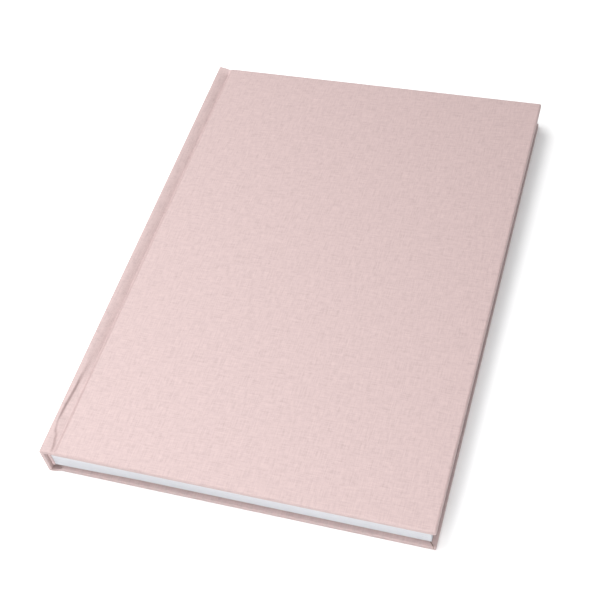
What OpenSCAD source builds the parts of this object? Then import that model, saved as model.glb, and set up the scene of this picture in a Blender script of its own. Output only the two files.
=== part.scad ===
// Cloth-bound wedding guest book, closed and lying on its back cover.
// Millimetres. +X runs from the spine to the fore edge, +Y from tail to head, +Z up.
// The origin is the middle of the underside. Distances along X are counted from the
// spine's outer face, and slab() and profile() move them to the origin.

/* [Cover] */
// Width of the closed book, from spine to fore edge
book_w = 214.5; // [190:0.5:240]
// Height of the closed book over the two ends of its spine
book_h = 305; // [270:1:330]
// Thickness of the two cover boards
board_t = 2.2; // [1.8:0.1:3]
// Thickness of the board in the spine
spine_board_t = 1.6; // [1.2:0.1:1.8]
// Thickness of the book cloth
cloth_t = 0.3; // [0.2:0.05:0.3]
// Width of the cloth folded round onto the inside of a board
turn_in_w = 15; // [12:1:20]
// Distance from the spine's outer face to the nearest edge of a cover board
joint_w = 10; // [9.5:0.5:12]
// How far the spine reaches past the cover boards at head and tail
spine_over = 1; // [0:0.25:1.5]
// How far the boards reach past the pages
square = 3; // [2.5:0.5:6]

/* [Pages] */
// Thickness of one sewn section of eight leaves
section_t = 1.37; // [1.2:0.01:1.6]
// Thickness of an endpaper
endpaper_t = 0.15; // [0.1:0.01:0.2]
// Distance from the spine's outer face to the folds of the sections
block_x = 3.3; // [3.2:0.1:3.8]

/* [Spine] */
// Diameter of the bead of the head and tail bands
band_d = 1.6; // [1.2:0.1:1.8]
// How far the beads of the bands stand off the ends of the pages
band_stand = 1.8; // [0.5:0.1:2]
// Width of the sewing tapes
tape_w = 12; // [8:1:16]
// Distance between neighbouring sewing tapes
tape_pitch = 80; // [60:5:90]
// Diameter of the sewing thread
thread_d = 0.2; // [0.14:0.02:0.2]

/* [Hidden] */
SECTIONS = 10;          // sewn sections in the text block
TURNING = 6;            // sections whose leaves turn when the book is opened
TAPES = 3;              // sewing tapes across the spine

slack = 0.05;           // air between a cover and the pages
leaf_gap = 0.02;        // air between neighbouring sections
reach = 1;              // how far a cutting slab runs past what it cuts
$fn = 32;

cover_t = 2 * cloth_t + board_t + endpaper_t;
block_t = SECTIONS * section_t + 2 * endpaper_t;
book_t = block_t + 2 * (cover_t + slack);
block_top = book_t - cover_t - slack;
board_top = book_t - cloth_t;
board_low = board_top - board_t;
inner_face = book_t - cover_t;
turn_in_low = board_low - cloth_t;
cover_y = book_h / 2 - spine_over;
page_w = book_w - square;
page_y = cover_y - square;
turn_in_y = cover_y - turn_in_w;
spine_in = spine_board_t + 2 * cloth_t;

// layers on the spine, outwards from the folds
tape_t = 0.2;
sewing_room = 0.21;     // room for the thread between the tapes and the gauze
lining_t = 0.12;
spine_margin = 0.3;     // the linings stop this far short of the shoulders
tape_x = block_x - tape_t;
thread_x = tape_x - thread_d / 2;
mull_x = tape_x - sewing_room - lining_t;
lining_x = mull_x - lining_t;
kettle_y = page_y - 18;
mull_y = page_y - 24;
lining_y = page_y - 2;
band_flange_l = 7.5;
band_gap = 0.5;         // hollow between a bead and the spine's cloth

// the valley of the joint cloth, as points across the outer face
groove_depth = board_t + cloth_t - 0.15;
joint_cloth_t = cloth_t + 0.1;
joint_line = [
    [spine_in, book_t],
    [spine_in + 1, book_t - 0.45],
    [spine_in + 2.6, book_t - groove_depth + 0.15],
    [joint_w - 2.6, book_t - groove_depth],
    [joint_w - 1.2, book_t - 1.5],
    [joint_w, book_t]
];

cover_pink = [0.87, 0.77, 0.75];
board_grey = [0.62, 0.58, 0.52];
page_white = [0.93, 0.93, 0.94];
endpaper_white = [0.95, 0.94, 0.92];
gauze_white = [0.9, 0.89, 0.84];
kraft_brown = [0.72, 0.58, 0.42];
band_pink = [0.93, 0.83, 0.81];
thread_white = [0.96, 0.95, 0.92];

// a box between two corners, with x counted from the spine's outer face
module slab(x1, x2, y1, y2, z1, z2) {
    translate([x1 - book_w / 2, y1, z1]) cube([x2 - x1, y2 - y1, z2 - z1]);
}

// an outline in x and z, extruded from tail to head over a half length y
module profile(points, y) {
    translate([-book_w / 2, y, 0]) rotate([90, 0, 0]) linear_extrude(2 * y) polygon(points);
}

// puts a piece of the front half in its place in the back half
module to_back() {
    translate([0, 0, book_t]) mirror([0, 0, 1]) children();
}

function section_top(i) = block_top - endpaper_t - (i - 1) * section_t - leaf_gap / 2;
function section_low(i) = section_top(i) - section_t + leaf_gap;
function section_mid(i) = (section_top(i) + section_low(i)) / 2;
function tape_y(i) = (i - (TAPES + 1) / 2) * tape_pitch;

module board_solid() {
    slab(joint_w + cloth_t, book_w - cloth_t, -cover_y + cloth_t, cover_y - cloth_t,
         board_low, board_top);
}

// the board that stiffens a cover
module cover_board() {
    color(board_grey) board_solid();
}

// the cloth glued round a board, turned in at head, tail and fore edge
module cover_cloth() {
    color(cover_pink) difference() {
        slab(joint_w, book_w, -cover_y, cover_y, turn_in_low, book_t);
        board_solid();
        slab(joint_w - reach, book_w - turn_in_w, -turn_in_y, turn_in_y,
             turn_in_low - reach, board_low);
    }
}

// the endpaper's outer half, glued over the turn-ins and down onto the board between them
module pastedown() {
    color(endpaper_white) difference() {
        slab(joint_w, page_w, -page_y, page_y, inner_face, board_low);
        difference() {
            slab(joint_w - reach, page_w + reach, -page_y - reach, page_y + reach,
                 turn_in_low, board_low + reach);
            slab(joint_w - 2 * reach, book_w - turn_in_w, -turn_in_y, turn_in_y,
                 turn_in_low - reach, board_low + 2 * reach);
        }
        slab(joint_w - reach, book_w - turn_in_w - endpaper_t,
             -turn_in_y + endpaper_t, turn_in_y - endpaper_t,
             inner_face - reach, board_low - endpaper_t);
    }
}

module spine_board_solid() {
    slab(cloth_t, cloth_t + spine_board_t, -book_h / 2 + cloth_t, book_h / 2 - cloth_t,
         cloth_t, book_t - cloth_t);
}

// the strip of board that makes the square spine
module spine_board() {
    color(board_grey) spine_board_solid();
}

// the cloth round the spine board, turned in at head and tail
module spine_cloth() {
    color(cover_pink) difference() {
        slab(0, spine_in, -book_h / 2, book_h / 2, 0, book_t);
        spine_board_solid();
        slab(cloth_t + spine_board_t, spine_in + reach, -turn_in_y, turn_in_y,
             cloth_t, book_t - cloth_t);
    }
}

// the bare cloth of the pressed joint, which bends when a cover opens
module joint_cloth() {
    under = [for (i = [len(joint_line) - 1:-1:0]) joint_line[i] - [0, joint_cloth_t]];
    color(cover_pink) profile(concat(joint_line, under), cover_y);
}

// the fold of the endpaper at the shoulder, between flyleaf and pastedown
module endpaper_fold() {
    low = block_top - endpaper_t;
    high = inner_face + endpaper_t;
    color(endpaper_white) profile([
        [block_x, low], [joint_w, low], [joint_w, block_top], [block_x + endpaper_t, block_top],
        [block_x + endpaper_t, inner_face], [joint_w, inner_face], [joint_w, high], [block_x, high]
    ], page_y);
}

// the endpaper's free half
module flyleaf() {
    color(endpaper_white)
        slab(joint_w, page_w, -page_y, page_y, block_top - endpaper_t, block_top);
}

// the stack of eight leaves of a section, from x1 to the fore edge
module leaf_stack(i, x1) {
    color(page_white) slab(x1, page_w, -page_y, page_y, section_low(i), section_top(i));
}

// the folded back of a section, which stays sewn into the spine, as far as x2
module section_back(i, x2) {
    nip = section_t / 4;
    color(page_white) profile([
        [block_x, section_low(i) + nip], [block_x + nip, section_low(i)], [x2, section_low(i)],
        [x2, section_top(i)], [block_x + nip, section_top(i)], [block_x, section_top(i) - nip]
    ], page_y);
}

// a section that stays flat, in one piece from fold to fore edge
module flat_section(i) {
    section_back(i, page_w);
}

// a linen tape that the sections are sewn over
module sewing_tape(i) {
    color(gauze_white)
        slab(tape_x, block_x, tape_y(i) - tape_w / 2, tape_y(i) + tape_w / 2,
             book_t - block_top + spine_margin, block_top - spine_margin);
}

// a straight run of thread along one axis
module thread_run(from, length, turn) {
    translate(from - [book_w / 2, 0, 0]) rotate(turn) cylinder(h = length, d = thread_d);
}

// the thread: a stitch over each tape in every section, and a row of kettle stitches near each end
module sewing_thread() {
    half = tape_w / 2 + 1;
    color(thread_white) {
        for (i = [1:SECTIONS], t = [1:TAPES]) {
            thread_run([thread_x, tape_y(t) - half, section_mid(i)], 2 * half, [-90, 0, 0]);
        }
        for (end = [-1, 1]) {
            thread_run([thread_x, end * kettle_y, section_mid(SECTIONS)],
                       section_mid(1) - section_mid(SECTIONS), [0, 0, 0]);
        }
    }
}

// a lining glued over the folds and the sewing
module spine_layer(x, y) {
    slab(x, x + lining_t, -y, y, book_t - block_top + spine_margin, block_top - spine_margin);
}

// the open gauze that carries the text block
module mull() {
    color(gauze_white) spine_layer(mull_x, mull_y);
}

// the kraft paper glued over the gauze
module spine_lining() {
    color(kraft_brown) spine_layer(lining_x, lining_y);
}

// a band: a cord bead on the end of the spine, with its flange glued to the folds
module end_band(end) {
    flange_x = mull_x + lining_t;
    low = book_t - block_top + spine_margin;
    bead_x = spine_in + band_gap + band_d / 2;
    bead_y = page_y + band_stand + band_d / 2;
    color(band_pink) scale([1, end, 1]) {
        translate([bead_x - book_w / 2, bead_y, low])
            cylinder(h = block_top - spine_margin - low, d = band_d);
        slab(flange_x, tape_x, page_y - band_flange_l, bead_y, low, block_top - spine_margin);
    }
}

cover_board();  // front_board
cover_cloth();  // front_cloth
pastedown();  // front_pastedown
to_back() cover_board();  // back_board
to_back() cover_cloth();  // back_cloth
to_back() pastedown();  // back_pastedown
spine_board();
spine_cloth();
joint_cloth();  // front_joint_cloth
to_back() joint_cloth();  // back_joint_cloth
endpaper_fold();  // front_endpaper_fold
to_back() endpaper_fold();  // back_endpaper_fold
flyleaf();  // front_flyleaf
to_back() flyleaf();  // back_flyleaf
for (i = [1:TURNING]) {
    leaf_stack(i, joint_w);
    section_back(i, joint_w);
}
for (i = [TURNING + 1:SECTIONS]) {
    flat_section(i);
}
for (i = [1:TAPES]) {
    sewing_tape(i);
}
sewing_thread();
mull();
spine_lining();
end_band(1);  // head_band
end_band(-1);  // tail_band
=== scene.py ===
import math
import random

import bmesh
import bpy
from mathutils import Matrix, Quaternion, Vector


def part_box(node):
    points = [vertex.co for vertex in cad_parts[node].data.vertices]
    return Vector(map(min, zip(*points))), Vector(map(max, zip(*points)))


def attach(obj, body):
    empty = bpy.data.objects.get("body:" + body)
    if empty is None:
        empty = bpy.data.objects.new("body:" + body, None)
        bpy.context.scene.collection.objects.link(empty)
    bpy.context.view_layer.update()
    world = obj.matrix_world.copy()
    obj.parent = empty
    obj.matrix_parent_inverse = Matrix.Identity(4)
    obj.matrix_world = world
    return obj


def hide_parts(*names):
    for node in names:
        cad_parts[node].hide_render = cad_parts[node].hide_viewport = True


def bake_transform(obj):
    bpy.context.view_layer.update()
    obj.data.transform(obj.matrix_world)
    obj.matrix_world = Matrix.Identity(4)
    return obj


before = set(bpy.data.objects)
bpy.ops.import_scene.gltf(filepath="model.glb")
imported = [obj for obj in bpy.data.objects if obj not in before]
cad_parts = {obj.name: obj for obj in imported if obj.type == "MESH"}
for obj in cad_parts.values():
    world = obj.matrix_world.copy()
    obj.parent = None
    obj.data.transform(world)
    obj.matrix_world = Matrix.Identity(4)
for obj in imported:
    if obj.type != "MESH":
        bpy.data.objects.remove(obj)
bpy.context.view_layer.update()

# ---------------------------------------------------------------------------------------
# Sizes, in millimetres. Distances along X are counted from the spine's outer face, as in
# the CAD source, and put() turns a point into metres in the row frame.
# ---------------------------------------------------------------------------------------
MM = 0.001
SPINE_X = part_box("spine_cloth")[0][0]


def extent(node):
    """Lowest and highest corner of a CAD node in millimetres, with X counted from the spine."""
    low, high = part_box(node)
    shift = Vector((SPINE_X, 0, 0))
    return (Vector(low) - shift) / MM, (Vector(high) - shift) / MM


def put(x, y, z):
    return SPINE_X + x * MM, y * MM, z * MM


spine_high = extent("spine_cloth")[1]
cover_low, cover_high = extent("front_cloth")
board_high = extent("front_board")[1]
page_low, page_high = extent("section_10")
leaf_low, leaf_high = extent("front_flyleaf")

BOOK_T = spine_high.z                       # thickness of the closed book
SPINE_Y = spine_high.y                      # the spine's half height
SPINE_IN = spine_high.x                     # inner face of the spine's turned-in cloth
COVER_W = cover_high.x                      # fore edge of the covers
COVER_Y = cover_high.y                      # half height of the covers
JOINT_W = cover_low.x                       # spine-side edge of the cover boards
CLOTH_T = cover_high.z - board_high.z
COVER_T = cover_high.z - cover_low.z        # board with cloth on both sides
TURN_IN = 15                                # cloth folded onto the inside of a board
PAGE_X = page_high.x                        # fore edge of the pages
PAGE_Y = page_high.y                        # half height of the pages
BLOCK_X = page_low.x                        # folds of the sections
ENDPAPER_T = leaf_high.z - leaf_low.z

RIDGE_X = 0.9                               # seam between the spine's cloth and a cover's
SPINE_R = 0.45                              # cloth over the long edges of the spine board
TIGHT_R = 0.32                              # cloth drawn tight over a board's edge
EDGE_BULGE = 0.04                           # and how far it bulges half way down that edge
ROUND_EASE = 2                              # width past the ridge over which a cover's ends grow rounder
QUARTER = [90, 67.5, 45, 22.5, 0]           # degrees of the points round a quarter turn
RIM_W = 4                                   # width of the rings of points round a cover's face
# How far the cloth stands proud of the boards' ends, how round it lies over them and round
# the fore corners, how far the fore edge leans out at the head and in at the tail, how much
# thicker the cloth is bunched at the ends of the joint, and what share of the joint's depth
# is left at its tail.
EDGES = {
    "front": {"head": 0.3, "fore": 0.85, "tail": 0.45, "round": 1.1, "corner": 0.9,
              "lean": 0.25, "lip": 1.1, "open": 1},
    "back": {"head": 0, "fore": 0, "tail": 0, "round": 0.32, "corner": 0.6,
             "lean": 0, "lip": 0.7, "open": 0.3},
}
HEAD_OPEN = 0.3                             # share of the joint's depth that is left at the head
END_L = 5                                   # length over which the joint grows shallow at its ends
LIP_L = 3                                   # length over which the bunched cloth thickens there
EVEN_W, EVEN_POWER = 6.7, 1.6               # width and steepness of an even fall to the floor
FLOOR_X, RISE_X = 7.2, 9.9                  # the joint's floor ends, and the board's face begins
BOARD_EASE = 0.8                            # width over which the board's edge comes in
STEP_X = (2.4, 8.2)                         # the case's ends step in from spine to boards here
# The cloth's fold into the joint, from the tail up: distance from the tail, place across
# the joint, width of the fold, its share of the depth, and the depth itself.
FOLD = [
    (0, 7.2, 1.4, 0.3, 0.9),
    (4, 6.9, 1.3, 0.4, 1.6),
    (10, 5.8, 1.3, 0.4, 1.7),
    (15, 3.8, 1.3, 0.3, 1.7),
    (20, 3.0, 1.1, 0.25, 1.7),
    (26, 2.8, 0.75, 0.7, 1.7),
    (44, 3.9, 0.75, 0.7, 1.8),
    (52, 5.4, 2.4, 0.3, 2.0),
    (75, 7.2, 5.0, 0.0, 2.2),
]
SEAM_W, SEAM_DIP = 0.22, 0.28               # the seam of a mitre between two turn-ins
TUCK_T = 0.25                               # cloth folded under at the tail, near the fore corner

FOLD_GAP = 0.1                              # the endpapers begin this far from the sections' folds
PAPER_SHARE = 0.93                          # share of a leaf's pitch that is paper, and not air
PAGE_PROUD = 0.35                           # pages past their CAD solids at the fore edge
TAIL_PROUD = 0.3                            # and at the tail
TAIL_SWELL = 0.85                           # the sewn folds stand this much prouder at the tail
SWELL_X = 60                                # and the swelling ends here
TAIL_LEAN = 1.0                             # the folds lean this far towards the spine at the tail
LEAN_X = 45                                 # and the leaning ends here


# ---------------------------------------------------------------------------------------
# Helpers
# ---------------------------------------------------------------------------------------
def smooth(value, start, end):
    """0 before start, 1 after end, and an even S between them."""
    t = min(1, max(0, (value - start) / (end - start)))
    return t * t * (3 - 2 * t)


def mix(a, b, t):
    return a + (b - a) * t


def span(start, end, pitch):
    """Evenly spaced values from start to end, about pitch apart."""
    count = max(1, round(abs(end - start) / pitch))
    return [mix(start, end, i / count) for i in range(count + 1)]


def mesh_object(name, points, faces, weld=1e-7):
    """An object from points in millimetres, with its doubled points welded."""
    mesh = bpy.data.meshes.new(name)
    mesh.from_pydata([put(*p) for p in points], [], faces)
    shape = bmesh.new()
    shape.from_mesh(mesh)
    bmesh.ops.remove_doubles(shape, verts=shape.verts, dist=weld)
    bmesh.ops.dissolve_degenerate(shape, edges=shape.edges, dist=weld)
    bmesh.ops.recalc_face_normals(shape, faces=shape.faces)
    shape.to_mesh(mesh)
    shape.free()
    mesh.shade_smooth()
    piece = bpy.data.objects.new(name, mesh)
    bpy.context.scene.collection.objects.link(piece)
    return piece


def strip(faces, row_a, row_b):
    """Joins two rows of point numbers with quads."""
    for k in range(len(row_a) - 1):
        faces.append((row_a[k], row_a[k + 1], row_b[k + 1], row_b[k]))


def skin(points, faces, rows):
    """Adds a sheet through rows of points, each row joined to the next."""
    previous = None
    for row_points in rows:
        row = range(len(points), len(points) + len(row_points))
        points.extend(row_points)
        if previous:
            strip(faces, previous, row)
        previous = row


def tube(points, faces, rings):
    """Adds a tube through closed rings of points, with a cap at both ends."""
    previous = None
    for ring in rings:
        row = list(range(len(points), len(points) + len(ring)))
        points.extend(ring)
        if previous:
            strip(faces, previous + previous[:1], row + row[:1])
        else:
            faces.append(tuple(row))
        previous = row
    faces.append(tuple(previous))


def dress(piece, material):
    piece.data.materials.clear()
    piece.data.materials.append(material)


# ---------------------------------------------------------------------------------------
# Case cloth
# ---------------------------------------------------------------------------------------
def fold_at(y):
    """The fold's place, width, share and depth at a height y, read off FOLD."""
    from_tail = y + COVER_Y
    for low, high in zip(FOLD, FOLD[1:]):
        if from_tail <= high[0]:
            t = smooth(from_tail, low[0], high[0])
            return [mix(a, b, t) for a, b in zip(low[1:], high[1:])]
    return FOLD[-1][1:]


def pressed_waves(x, y):
    """The slight unevenness of the joint's floor, one long wave and one short."""
    return 0.05 * math.sin(y / 17 + 0.6) + 0.03 * math.sin(y / 6.1 + x)


def joint_depth(x, y, edges):
    """Depth of the cloth below the board's face across the pressed joint."""
    place, width, share, depth = fold_at(y)
    even = min(1, max(0, (x - RIDGE_X) / EVEN_W)) ** EVEN_POWER
    fall = mix(even, smooth(x, place - width, place), share)
    rise = smooth(x, FLOOR_X, RISE_X)
    head_end = mix(1, HEAD_OPEN, smooth(y, COVER_Y - END_L, COVER_Y))
    tail_end = mix(1, edges["open"], smooth(-y, COVER_Y - END_L, COVER_Y))
    return (depth + pressed_waves(x, y)) * fall * (1 - rise) * head_end * tail_end


def joint_fabric(x, y, edges):
    """Thickness from the outer face to the turned-in cloth: two layers, and the board past them."""
    board = smooth(x, FLOOR_X, FLOOR_X + BOARD_EASE)
    layers = 2 * CLOTH_T + edges["lip"] * smooth(abs(y), COVER_Y - LIP_L, COVER_Y)
    return layers + max(0, COVER_T - layers - joint_depth(x, y, edges)) * board


def cover_end(x, proud):
    """Half height of the case at x: the spine's ends reach past the boards."""
    return mix(SPINE_Y, COVER_Y + proud, smooth(x, *STEP_X))


def edge_levels():
    """The cloth's way round a cover's edge as (kind, value) steps, from the outer face inwards."""
    outer = [("face", d) for d in (RIM_W, 2.4, 1.4)] + [("outer_arc", a) for a in QUARTER]
    inner = [("inner_arc", a) for a in reversed(QUARTER)]
    under = [("under", d) for d in (1.4, 2.4, 4, 7, 11, TURN_IN - 0.4, TURN_IN)]
    return outer + [("side", 0)] + inner + under + [("cut", TURN_IN)]


def edge_step(kind, value, thick, round_r):
    """(inset, depth) of a step, for cloth that goes round something of this thickness."""
    r = min(round_r if kind == "outer_arc" else TIGHT_R, thick / 2)
    c, s = math.cos(math.radians(value)), math.sin(math.radians(value))
    return {
        "face": (value, 0),
        "outer_arc": (r - r * c, r - r * s),
        "side": (-EDGE_BULGE, thick * 0.6),
        "inner_arc": (r - r * c, thick - r + r * s),
        "under": (value, thick),
        "cut": (value, thick - CLOTH_T),
    }[kind]


def edge_ring(kind, value, xs, ys, edges):
    """One U of points (x, y, depth) round head, fore edge and tail."""
    fore_inset, fore_depth = edge_step(kind, value, COVER_T, edges["round"])
    turned = kind in ("under", "cut")
    reach = max(fore_inset, edges["corner"])
    fore_x = COVER_W + edges["fore"]
    ends = {1: edges["head"], -1: edges["tail"]}
    points = []

    def side_line(sign, values):
        for x in values:
            x = min(x, fore_x - reach - SEAM_W)
            y = sign * cover_end(x, ends[sign])
            thick_end = joint_fabric(x, y, edges)
            round_r = mix(TIGHT_R, edges["round"], smooth(x, RIDGE_X, RIDGE_X + ROUND_EASE))
            inset, depth = edge_step(kind, value, thick_end, round_r)
            if turned and sign < 0:
                near_corner = smooth(x, fore_x - 14, fore_x - 6)
                near_edge = 1 - smooth(value, 1.4, 4)
                depth += TUCK_T * near_corner * near_edge
            y -= sign * inset
            depth *= joint_fabric(x, y, edges) / thick_end
            points.append((x, y, joint_depth(x, y, edges) + depth))

    def corner(sign, angles):
        for a in angles:
            r = max(0, edges["corner"] - fore_inset)
            x = fore_x - reach + r * math.cos(math.radians(a))
            y = sign * (COVER_Y + ends[sign] - reach + r * math.sin(math.radians(a)))
            points.append((x, y, fore_depth - (SEAM_DIP if turned else 0)))

    side_line(1, xs)
    corner(1, QUARTER)
    low, high = -COVER_Y - ends[-1] + reach + SEAM_W, COVER_Y + ends[1] - reach - SEAM_W
    points.extend((fore_x - fore_inset, min(high, max(low, y)), fore_depth) for y in reversed(ys))
    corner(-1, reversed(QUARTER))
    side_line(-1, reversed(xs))
    return points


def case_cloth(name, front):
    """The cloth of one cover and its joint, from the spine's ridge round to the turn-ins."""
    edges = EDGES["front" if front else "back"]
    joint_end = 13                          # the points stand close together up to here
    fine_tail, fine_head = 24, 12           # and over these lengths at the ends
    xs = span(RIDGE_X, joint_end, 0.3) + span(joint_end, COVER_W + edges["fore"] - RIM_W, 5)[1:]
    tail, head = -COVER_Y - edges["tail"] + RIM_W, COVER_Y + edges["head"] - RIM_W
    ys = span(tail, tail + fine_tail, 0.8)
    ys += span(tail + fine_tail, head - fine_head, 2.5)[1:]
    ys += span(head - fine_head, head, 0.8)[1:]

    def face_row(y):
        """Points across the outer face, which reaches further out over the spine."""
        rim, proud = (head, edges["head"]) if y > 0 else (-tail, edges["tail"])
        places = [(x, y * (cover_end(x, proud) - RIM_W) / rim) for x in xs]
        return [(x, true_y, joint_depth(x, true_y, edges)) for x, true_y in places]

    points, faces = [], []
    skin(points, faces, [edge_ring(kind, value, xs, ys, edges) for kind, value in edge_levels()])
    skin(points, faces, [face_row(y) for y in ys])
    lean = edges["lean"] / (COVER_W * COVER_Y)
    points = [(x + lean * x * y, y, BOOK_T - depth if front else depth) for x, y, depth in points]
    return mesh_object(name, points, faces, weld=1e-6)


def mitre_edge(name, front, end):
    """The raw edge of the cloth where two turn-ins meet at a fore corner, a thin tube whose dark
    material paints the seam's shade.
    """
    # Distance in from the fore edge and from the cover's end, and below the turned-in cloth.
    way = [(3.6, 2.9, 0), (2.7, 2.1, 0), (2.0, 1.3, 0), (1.55, 0.7, 0),
           (1.35, 0.25, 0.06), (1.3, 0.02, 0.35), (1.3, 0, 1.1)]
    path = [Vector((COVER_W - a, end * (COVER_Y - b), COVER_T - drop)) for a, b, drop in way]
    across = Vector((0.9, -0.45 * end, 0)).normalized()
    r, around = 0.2, 8
    angles = [2 * math.pi * k / around for k in range(around)]
    points, faces, rings = [], [], []
    for before, here, after in zip(path[:1] + path, path, path[1:] + path[-1:]):
        up = (after - before).cross(across).normalized()
        rings.append([here + r * math.cos(a) * across + r * math.sin(a) * up for a in angles])
    tube(points, faces, rings)
    return mesh_object(name, [(x, y, BOOK_T - z if front else z) for x, y, z in points], faces)


def spine_cloth():
    """The cloth round the spine board, from ridge to ridge and turned in at head and tail."""
    r = SPINE_R
    turn = span(0, math.pi / 2, 0.25)[1:]
    path = [(x, BOOK_T) for x in span(RIDGE_X, r, 0.2)]
    path += [(r - r * math.sin(a), BOOK_T - r + r * math.cos(a)) for a in turn]
    path += [(0, z) for z in span(BOOK_T - r, r, 1.2)[1:]]
    path += [(r - r * math.cos(a), r - r * math.sin(a)) for a in turn]
    path += [(x, 0) for x in span(r, RIDGE_X, 0.2)[1:]]

    def drawn_in(x, z, inset):
        """The path's point moved towards the board's middle."""
        middle = min(BOOK_T - r, max(r, z))
        away = math.hypot(r - x, z - middle) if x < r else abs(z - middle)
        k = max(0, 1 - inset / r) if away > 1e-6 else 1
        if x < r:
            return r - (r - x) * k, middle + (z - middle) * k
        return x, middle + (z - middle) * k

    def end_rings(end):
        """Rings (y, inset, share of the way across the board) round one end and down its inside."""
        rings = [(SPINE_Y - TIGHT_R + TIGHT_R * math.sin(a), TIGHT_R - TIGHT_R * math.cos(a), 0)
                 for a in span(0, math.pi / 2, 0.3)[1:]]
        inside = ((0, 0.6), (0.1, 0.9), (0.5, 1), (TURN_IN, 1))
        rings += [(SPINE_Y - back, TIGHT_R, across) for back, across in inside]
        return [(end * y, inset, across) for y, inset, across in rings]

    along = [(y, 0, 0) for y in span(-SPINE_Y + TIGHT_R, SPINE_Y - TIGHT_R, 3)]
    points, faces, rings = [], [], []
    for y, inset, across in end_rings(-1)[::-1] + along + end_rings(1):
        ring = []
        for x, z in path:
            xi, zi = drawn_in(x, z, inset)
            zi = mix(zi, min(BOOK_T - TIGHT_R, max(TIGHT_R, z)), across)
            ring.append((mix(xi, SPINE_IN, across), y, zi))
        rings.append(ring)
    skin(points, faces, rings)
    return mesh_object("spine_case_cloth", points, faces, weld=1e-6)


# ---------------------------------------------------------------------------------------
# Paper
# ---------------------------------------------------------------------------------------
def leaf_stations():
    """Places along a leaf from the spine to the fore edge, close together where it bends."""
    return span(0, 0.12, 0.008) + span(0.12, 0.4, 0.04)[1:] + span(0.4, 1, 0.06)[1:]


def swept_sheet(points, faces, path, thickness, y_low, y_high):
    """Adds a thin sheet whose outline in x and z is path, reaching from y_low to y_high.

    A leaf reaches from tail to head, and swells and leans at the tail.
    """
    first = len(points)
    is_leaf = y_low < 0 < y_high
    for k, (x, z) in enumerate(path):
        xa, za = path[max(0, k - 1)]
        xb, zb = path[min(len(path) - 1, k + 1)]
        length = math.hypot(xb - xa, zb - za)
        nx, nz = -(zb - za) / length, (xb - xa) / length
        swell = TAIL_PROUD + TAIL_SWELL * (1 - smooth(x, BLOCK_X, SWELL_X)) if is_leaf else 0
        lean = TAIL_LEAN * (1 - smooth(x, BLOCK_X, LEAN_X)) if is_leaf else 0
        for side in (0.5, -0.5):
            for y, shift in ((y_low - swell, lean), (y_high, 0)):
                points.append((x + nx * side * thickness - shift, y, z + nz * side * thickness))
    for k in range(len(path) - 1):
        a, b = first + 4 * k, first + 4 * k + 4
        faces.extend([(a, a + 1, b + 1, b), (a + 3, a + 2, b + 2, b + 3),
                      (a + 2, a, b, b + 2), (a + 1, a + 3, b + 3, b + 1)])
    last = first + 4 * (len(path) - 1)
    faces.extend([(first, first + 2, first + 3, first + 1), (last, last + 1, last + 3, last + 2)])


def section(name, low, high, chance):
    """A section of four sheets folded once and laid inside each other, which makes eight leaves."""
    sheets = 4
    uneven_fore, uneven_end, end_gap = 0.1, 0.12, 0.02
    pitch = (high - low) / (2 * sheets)
    points, faces = [], []
    for k in range(sheets):
        top, bottom = high - (k + 0.5) * pitch, low + (k + 0.5) * pitch
        fold_r = (top - bottom) / 2
        start = BLOCK_X + (k + 0.5) * pitch + fold_r
        fore = PAGE_X + PAGE_PROUD - uneven_fore * chance.random()
        tail = PAGE_Y - end_gap - uneven_end * chance.random()
        head = PAGE_Y - end_gap - uneven_end * chance.random()
        run = [mix(start, fore, t) for t in leaf_stations()]
        path = [(x, top) for x in reversed(run)]
        path += [(start - fold_r * math.sin(a), (top + bottom) / 2 + fold_r * math.cos(a))
                 for a in span(0, math.pi, 0.5)[1:-1]]
        path += [(x, bottom) for x in run]
        swept_sheet(points, faces, path, pitch * PAPER_SHARE, -tail, head)
    piece = mesh_object(name, points, faces)
    flat_shade_edges(piece)
    return piece


def flat_shade_edges(piece):
    """Keeps the sheet's cut edges crisp beside its smooth faces."""
    piece.data.set_sharp_from_angle(angle=math.radians(40))


def flyleaf(name, low, high):
    """The free half of an endpaper, from the shoulder to the fore edge."""
    middle = (low + high) / 2
    end_gap = 0.05
    points, faces = [], []
    path = [(mix(BLOCK_X + FOLD_GAP, PAGE_X - end_gap, t), middle) for t in leaf_stations()]
    thickness = (high - low) * PAPER_SHARE
    swept_sheet(points, faces, path, thickness, -PAGE_Y + end_gap, PAGE_Y - end_gap)
    piece = mesh_object(name, points, faces)
    flat_shade_edges(piece)
    return piece


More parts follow.
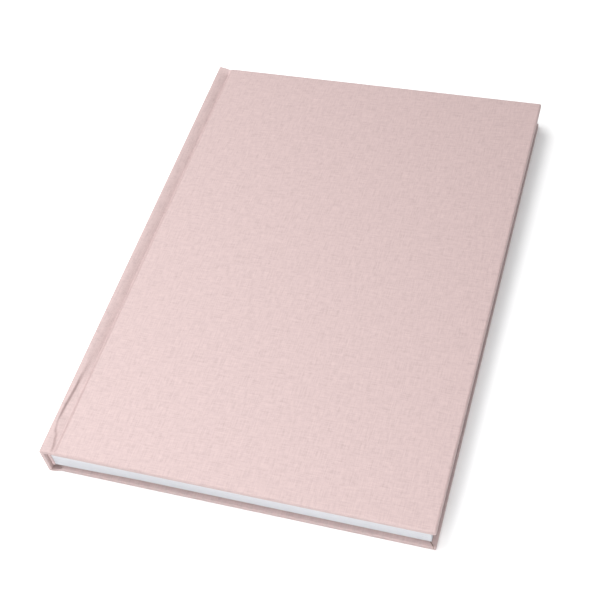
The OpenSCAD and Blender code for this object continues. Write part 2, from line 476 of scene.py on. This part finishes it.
def pastedown(name, front):
    """The glued half of an endpaper: over the turn-ins, down onto the board and out to the shoulder."""
    # The points stand close together where the paper steps down off the turned-in cloth.
    edge_x, edge_y = COVER_W - TURN_IN, COVER_Y - TURN_IN
    step, set_back, fine = 0.8, 0.5, 0.25
    thickness = ENDPAPER_T * 0.9
    xs = span(BLOCK_X + FOLD_GAP, JOINT_W, 0.5) + span(JOINT_W, edge_x - 2, 6)[1:]
    xs += span(edge_x - 1.5, edge_x + 1, fine) + span(edge_x + 2, PAGE_X - set_back, 2)
    ys = [-PAGE_Y + set_back, -edge_y - 4] + span(-edge_y - 1, -edge_y + 1.5, fine)
    ys += span(-edge_y + 4, edge_y - 4, 8)
    ys += span(edge_y - 1.5, edge_y + 1, fine) + [edge_y + 4, PAGE_Y - set_back]

    def inner_depth(x, y):
        inside = (1 - smooth(x, edge_x - step, edge_x)) * (1 - smooth(abs(y), edge_y - step, edge_y))
        return COVER_T + ENDPAPER_T - CLOTH_T * inside * smooth(x, JOINT_W, JOINT_W + 1.5)

    points, faces, rows = [], [], []
    for layer in (0, thickness):
        for y in ys:
            rows.append(range(len(points), len(points) + len(xs)))
            points.extend((x, y, inner_depth(x, y) - layer) for x in xs)
    half = len(ys)
    for face_rows in (rows[:half], rows[half:]):
        for row_a, row_b in zip(face_rows, face_rows[1:]):
            strip(faces, row_a, row_b)
    for row_a, row_b in ((rows[0], rows[half]), (rows[half - 1], rows[-1])):
        strip(faces, row_a, row_b)
    for column in (0, -1):
        strip(faces, [row[column] for row in rows[:half]], [row[column] for row in rows[half:]])
    points = [(x, y, BOOK_T - depth if front else depth) for x, y, depth in points]
    piece = mesh_object(name, points, faces)
    flat_shade_edges(piece)
    return piece


# ---------------------------------------------------------------------------------------
# Bands
# ---------------------------------------------------------------------------------------
def end_band(name, node):
    """A corded bead wrapped in thread, with its woven flange down the folds."""
    low, high = extent(node)
    end = 1 if high.y > 0 else -1
    r = (high.x - low.x) / 2
    to_spine, inwards = 0.45, 1.4           # the bead nestles between the spine board and the pages
    rib, groove = 0.42, 0.1                 # one turn of the thread, and the groove between turns
    around, twist = 20, 0.05                # points round the bead, and its turn in radians a mm
    centre_x = low.x + r - to_spine
    centre_y = max(abs(low.y), abs(high.y)) - r - inwards
    points, faces, rings = [], [], []
    for z in span(low.z, high.z, rib / 6):
        radius = r * (1 - groove + groove * abs(math.sin(math.pi * (z - low.z) / rib)))
        angles = [2 * math.pi * (k / around) + twist * z for k in range(around)]
        rings.append([(centre_x + radius * math.cos(a), end * (centre_y + radius * math.sin(a)), z)
                      for a in angles])
    tube(points, faces, rings)
    flange_x, flange_t = BLOCK_X - 0.3, 0.15
    path = [(flange_x, z) for z in span(low.z, high.z, 1)]
    y_inner = min(abs(low.y), abs(high.y))
    swept_sheet(points, faces, path, flange_t, *sorted((end * y_inner, end * centre_y)))
    return mesh_object(name, points, faces)


# ---------------------------------------------------------------------------------------
# Materials
# ---------------------------------------------------------------------------------------
class Shader:
    """A material's node tree with short calls for the nodes used here."""

    def __init__(self, name, roughness, sheen=0):
        self.material = bpy.data.materials.new(name)
        self.material.use_nodes = True
        self.tree = self.material.node_tree
        self.principled = self.tree.nodes["Principled BSDF"]
        self.principled.inputs["Roughness"].default_value = roughness
        self.principled.inputs["Specular IOR Level"].default_value = 0.25
        self.principled.inputs["Sheen Weight"].default_value = sheen
        self.principled.inputs["Sheen Roughness"].default_value = 0.5
        coordinates = self.add("ShaderNodeTexCoord")
        self.position = coordinates.outputs["Object"]

    def add(self, kind, **settings):
        node = self.tree.nodes.new(kind)
        for key, value in settings.items():
            setattr(node, key, value)
        return node

    def link(self, source, target):
        self.tree.links.new(source, target)

    def stretched(self, scale):
        """Object position scaled by a different amount along each axis."""
        node = self.add("ShaderNodeMapping")
        node.inputs["Scale"].default_value = scale
        self.link(self.position, node.inputs["Vector"])
        return node.outputs["Vector"]

    def noise(self, scale, detail, rough=0.55):
        """Noise whose scale is in cycles a metre along each axis."""
        node = self.add("ShaderNodeTexNoise")
        node.inputs["Scale"].default_value = 1
        node.inputs["Detail"].default_value = detail
        node.inputs["Roughness"].default_value = rough
        self.link(self.stretched(scale), node.inputs["Vector"])
        return node.outputs["Fac"]

    def bands(self, axis, period, distortion):
        """Rounded threads across an axis, one every period metres."""
        phase = 20                          # radians of a wave texture in one unit of its scale
        node = self.add("ShaderNodeTexWave", bands_direction=axis)
        node.inputs["Scale"].default_value = 2 * math.pi / (phase * period)
        node.inputs["Distortion"].default_value = distortion
        node.inputs["Detail"].default_value = 1
        node.inputs["Detail Scale"].default_value = 0.3
        self.link(self.position, node.inputs["Vector"])
        return node.outputs["Fac"]

    def math(self, operation, a, b):
        node = self.add("ShaderNodeMath", operation=operation)
        for socket, value in zip(node.inputs, (a, b)):
            if isinstance(value, (int, float)):
                socket.default_value = value
            else:
                self.link(value, socket)
        return node.outputs[0]

    def ramp(self, factor, stops):
        """A colour ramp through (place, colour) stops."""
        node = self.add("ShaderNodeValToRGB")
        elements = node.color_ramp.elements
        while len(elements) < len(stops):
            elements.new(0.5)
        for element, (place, colour) in zip(elements, stops):
            element.position = place
            element.color = (*colour, 1)
        self.link(factor, node.inputs["Fac"])
        return node.outputs["Color"]

    def colour(self, source):
        self.link(source, self.principled.inputs["Base Color"])

    def bump(self, height, depth):
        """Relief whose full height is depth metres."""
        node = self.add("ShaderNodeBump")
        node.inputs["Strength"].default_value = 1
        node.inputs["Distance"].default_value = depth
        self.link(height, node.inputs["Height"])
        self.link(node.outputs["Normal"], self.principled.inputs["Normal"])


def shade(colour, factor):
    return tuple(channel * factor for channel in colour)


def linen():
    """Blush book cloth: a fine plain weave with slubs both ways and soft mottling."""
    s = Shader("blush_linen", roughness=0.5)
    s.principled.inputs["Specular IOR Level"].default_value = 0.65
    blush = (0.406, 0.303, 0.297)
    warp = s.noise((1900, 110, 1900), 2)
    weft = s.noise((110, 1900, 1900), 2)
    cloud = s.noise((450, 450, 450), 3)
    slubs = s.math("ADD", s.math("MULTIPLY", warp, 0.5), s.math("MULTIPLY", weft, 0.5))
    tone = s.math("ADD", s.math("MULTIPLY", slubs, 0.75), s.math("MULTIPLY", cloud, 0.25))
    s.colour(s.ramp(tone, [(0.3, shade(blush, 0.78)), (0.5, blush), (0.7, shade(blush, 1.15))]))
    threads = s.math("MULTIPLY", s.bands("X", 0.00052, 2), s.bands("Y", 0.00056, 2))
    s.bump(s.math("ADD", s.math("MULTIPLY", threads, 0.6), slubs), 0.00009)
    return s.material


def raw_edge_painted_shade():
    """Cut threads of the cloth along a mitre, coloured dark brown as painted shade of the seam."""
    s = Shader("raw_edge_painted_shade", roughness=0.85)
    # painted shade: the dark line of the mitre's seam, coloured into the cut edge
    seam_shade_brown = (0.13, 0.1, 0.075)
    fray = s.noise((2500, 2500, 2500), 3)
    s.colour(s.ramp(fray, [(0.35, shade(seam_shade_brown, 0.7)), (0.65, shade(seam_shade_brown, 1.3))]))
    s.bump(fray, 0.00005)
    return s.material


def paper(name, white):
    """Smooth uncoated paper with a faint fibre."""
    s = Shader(name, roughness=0.75)
    fibre = s.noise((900, 900, 4000), 3)
    s.colour(s.ramp(fibre, [(0.3, shade(white, 0.965)), (0.7, white)]))
    s.bump(fibre, 0.00002)
    return s.material


def millboard():
    """Grey board with darker and lighter flecks of fibre."""
    s = Shader("millboard", roughness=0.9)
    grey = (0.42, 0.375, 0.32)
    flecks = s.noise((1100, 500, 3000), 5, 0.7)
    s.colour(s.ramp(flecks, [(0.35, shade(grey, 0.72)), (0.5, grey), (0.68, shade(grey, 1.2))]))
    s.bump(flecks, 0.00006)
    return s.material


def gauze():
    """Open cotton gauze, its threads about a millimetre apart."""
    s = Shader("cotton_gauze", roughness=0.85)
    cotton = (0.8, 0.78, 0.7)
    threads = s.math("MAXIMUM", s.bands("Y", 0.0011, 0.6), s.bands("Z", 0.0011, 0.6))
    s.colour(s.ramp(threads, [(0.45, shade(cotton, 0.62)), (0.75, cotton)]))
    s.bump(threads, 0.00012)
    return s.material


def kraft():
    """Brown kraft paper with its fibres lying one way."""
    s = Shader("kraft_paper", roughness=0.8)
    brown = (0.48, 0.32, 0.19)
    fibre = s.noise((900, 160, 2200), 4)
    s.colour(s.ramp(fibre, [(0.32, shade(brown, 0.82)), (0.66, shade(brown, 1.1))]))
    s.bump(fibre, 0.00004)
    return s.material


def linen_thread():
    """Waxed thread, with the twist of its plies and painted shade in the grooves between them."""
    s = Shader("waxed_thread", roughness=0.55)
    flax = (0.86, 0.83, 0.76)
    twist = s.bands("DIAGONAL", 0.0004, 0.5)
    # the grooves between plies are coloured darker: painted shade
    s.colour(s.ramp(twist, [(0.2, shade(flax, 0.78)), (0.7, flax)]))
    s.bump(twist, 0.00005)
    return s.material


def band_cloth():
    """Pale pink silky thread wrapped round the bead, one turn beside the next, with painted shade in the
    grooves between turns.
    """
    s = Shader("band_thread", roughness=0.55, sheen=0.3)
    pink = (0.5, 0.37, 0.365)
    turns = s.bands("Z", 0.00042, 0.2)
    # the grooves between turns are coloured darker: painted shade
    s.colour(s.ramp(turns, [(0.1, shade(pink, 0.7)), (0.55, pink)]))
    s.bump(turns, 0.00006)
    return s.material


def repaint(names, material):
    """Gives carried-over CAD nodes a finish."""
    for name in names:
        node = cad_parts[name]
        node.data.materials.clear()
        node.data.materials.append(material)


# ---------------------------------------------------------------------------------------
# The book
# ---------------------------------------------------------------------------------------
def build_case(cloth, raw_edge_and_shade):
    for side in ("front", "back"):
        piece = case_cloth(f"{side}_case_cloth", side == "front")
        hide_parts(f"{side}_cloth", f"{side}_joint_cloth")
        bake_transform(piece)
        dress(piece, cloth)
        for sign, place in ((1, "head"), (-1, "tail")):
            edge = mitre_edge(f"{side}_{place}_mitre_edge", side == "front", sign)
            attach(edge, f"{side}_cover")
            # the mitre tubes' material is dark brown, painted shade of the seam
            dress(edge, raw_edge_and_shade)
    piece = spine_cloth()
    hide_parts("spine_cloth")
    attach(piece, "text_block")
    dress(piece, cloth)


def build_endpapers(white):
    for side in ("front", "back"):
        piece = pastedown(f"{side}_pastedown_sheet", side == "front")
        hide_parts(f"{side}_pastedown", f"{side}_endpaper_fold")
        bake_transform(piece)
        dress(piece, white)
        low, high = extent(f"{side}_flyleaf")
        leaf = flyleaf(f"{side}_flyleaf_sheet", low.z, high.z)
        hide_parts(f"{side}_flyleaf")
        if side == "front":
            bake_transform(leaf)
        else:
            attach(leaf, "text_block")
        dress(leaf, white)


def build_sections(white):
    chance = random.Random(7)
    names = list(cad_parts)
    turning = sum(name.startswith("leaves_") for name in names)
    fixed = sum(name.startswith("section_") and "fold" not in name for name in names)
    for i in range(1, turning + fixed + 1):
        cad_names = [f"leaves_{i}", f"section_fold_{i}"] if i <= turning else [f"section_{i}"]
        low, high = extent(cad_names[0])
        piece = section(f"section_{i}_sheets", low.z, high.z, chance)
        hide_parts(*cad_names)
        if i <= turning:
            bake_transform(piece)
        else:
            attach(piece, "text_block")
        dress(piece, white)


def build_spine(materials):
    for end in ("head", "tail"):
        piece = end_band(f"{end}_band_bead", f"{end}_band")
        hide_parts(f"{end}_band")
        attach(piece, "text_block")
        dress(piece, materials["band"])
    tapes = [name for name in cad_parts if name.startswith("sewing_tape")]
    repaint(["front_board", "back_board", "spine_board"], materials["board"])
    repaint(["mull"] + tapes, materials["gauze"])
    repaint(["spine_lining"], materials["kraft"])
    repaint(["sewing_thread"], materials["thread"])


# ---------------------------------------------------------------------------------------
# Floor, light and camera
# ---------------------------------------------------------------------------------------
def heading(azimuth, elevation):
    """Unit vector towards a place seen at that azimuth and elevation from the book."""
    a, e = math.radians(azimuth), math.radians(elevation)
    return Vector((math.sin(a) * math.cos(e), -math.cos(a) * math.cos(e), math.sin(e)))


def build_floor():
    gap = 0.0001                            # metres below the book, so that no faces coincide
    bpy.ops.mesh.primitive_plane_add(size=6, location=(0, 0, -gap))
    floor = bpy.context.object
    floor.name = "floor"
    s = Shader("studio_white", roughness=0.9)
    s.principled.inputs["Specular IOR Level"].default_value = 0
    s.colour(s.ramp(s.noise((6, 6, 6), 1), [(0.3, (0.9, 0.9, 0.9)), (0.7, (0.93, 0.93, 0.93))]))
    floor.data.materials.append(s.material)


def build_light():
    world = bpy.data.worlds.new("studio")
    bpy.context.scene.world = world
    world.use_nodes = True
    background = world.node_tree.nodes["Background"]
    background.inputs["Color"].default_value = (1, 1, 1, 1)
    background.inputs["Strength"].default_value = 0.52
    soft_box("window", place=heading(-98, 60) * 0.87, size=0.85, power=10.2)
    soft_box("reflector", place=heading(12, 38) * 0.75, size=0.6, power=3.9)


def soft_box(name, place, size, power):
    """A square softbox that faces the book."""
    light = bpy.data.lights.new(name, "AREA")
    light.shape = "SQUARE"
    light.size = size
    light.energy = power
    lamp = bpy.data.objects.new(name, light)
    lamp.location = place
    lamp.rotation_euler = place.to_track_quat("Z", "Y").to_euler()
    bpy.context.scene.collection.objects.link(lamp)


def build_camera(azimuth, elevation, roll, aim, distance, lens):
    """The camera, from angles in degrees, a point in metres and a lens in millimetres."""
    camera = bpy.data.objects.new("camera", bpy.data.cameras.new("camera"))
    direction = heading(azimuth, elevation)
    camera.location = Vector(aim) + direction * distance
    turn = direction.to_track_quat("Z", "Y") @ Quaternion((0, 0, 1), math.radians(-roll))
    camera.rotation_euler = turn.to_euler()
    camera.data.lens = lens
    camera.data.sensor_width = 36
    bpy.context.scene.collection.objects.link(camera)
    bpy.context.scene.camera = camera


# the second material is the mitre tubes' dark brown, painted shade of the seams
build_case(linen(), raw_edge_painted_shade())
build_endpapers(paper("endpaper_white", (0.58, 0.565, 0.555)))
build_sections(paper("page_white", (0.565, 0.575, 0.605)))
build_spine({"band": band_cloth(), "board": millboard(), "gauze": gauze(), "kraft": kraft(),
             "thread": linen_thread()})
build_floor()
build_light()
build_camera(azimuth=24.81, elevation=51.85, roll=10.73,
             aim=(-0.00126, -0.02029, 0.01), distance=0.69852, lens=72.61)
bpy.context.scene.view_settings.view_transform = "Standard"
